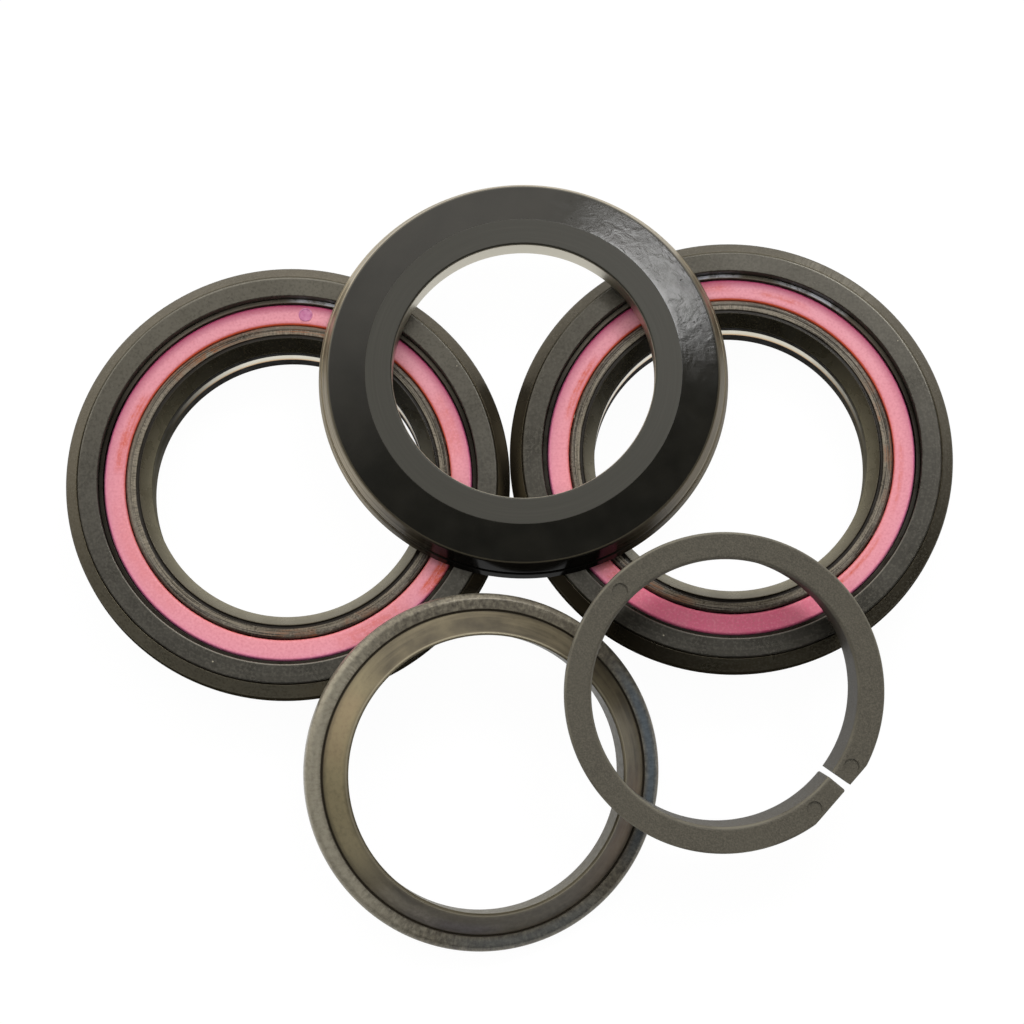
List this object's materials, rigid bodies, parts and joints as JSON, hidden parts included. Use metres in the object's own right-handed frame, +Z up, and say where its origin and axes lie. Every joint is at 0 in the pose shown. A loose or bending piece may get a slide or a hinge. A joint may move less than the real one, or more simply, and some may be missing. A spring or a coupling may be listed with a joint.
{
  "type": "bicycle headset",
  "caption": "Loose zero-stack bicycle headset: flanged cups with sealed cartridge bearings, top cover, crown race and split wedge ring that let a fork turn in a frame.",
  "frame": {"origin": "middle of the whole layout, on the surface that the set lies on", "axes": "+Z up from the surface, +X along the row of cups, +Y away from the viewer"},
  "size_m": [0.098, 0.0852, 0.0203],
  "materials": {
    "cup": "black anodised, satin",
    "race_steel": "greased, ground",
    "cage": "moulded nylon",
    "balls": "polished",
    "seal": "satin pink",
    "top_cover": "black anodised, gloss cone and satin top",
    "crown_race": "gunmetal",
    "compression_ring": "matte, glass filled"
  },
  "bodies": {
    "set": {"lower_cup": "cup", "lower_outer_race": "race_steel", "lower_top_seal": "seal", "lower_bottom_seal": "seal", "upper_cup": "cup", "upper_outer_race": "race_steel", "upper_top_seal": "seal", "upper_bottom_seal": "seal", "top_cover": "top_cover", "crown_race": "crown_race", "compression_ring": "compression_ring"},
    "lower_inner": {"lower_inner_race": "race_steel"},
    "lower_cage": {"lower_ball_cage": "cage", "lower_balls": "balls"},
    "upper_inner": {"upper_inner_race": "race_steel"},
    "upper_cage": {"upper_ball_cage": "cage", "upper_balls": "balls"}
  },
  "joints": [
    {"name": "lower_inner_spin", "type": "hinge", "parent": "set", "child": "lower_inner", "pos_m": [-0.02448, 0.00864, 0.00555], "axis": [0, 0, 1], "continuous": true},
    {"name": "lower_cage_spin", "type": "hinge", "parent": "set", "child": "lower_cage", "pos_m": [-0.02448, 0.00864, 0.00555], "axis": [0, 0, 1], "continuous": true},
    {"name": "upper_inner_spin", "type": "hinge", "parent": "set", "child": "upper_inner", "pos_m": [0.02448, 0.01155, 0.00555], "axis": [0, 0, 1], "continuous": true},
    {"name": "upper_cage_spin", "type": "hinge", "parent": "set", "child": "upper_cage", "pos_m": [0.02448, 0.01155, 0.00555], "axis": [0, 0, 1], "continuous": true}
  ],
  "couplings": [
    {"joint": "lower_cage_spin", "follows": "lower_inner_spin", "ratio": 0.456},
    {"joint": "upper_cage_spin", "follows": "upper_inner_spin", "ratio": 0.456}
  ]
}
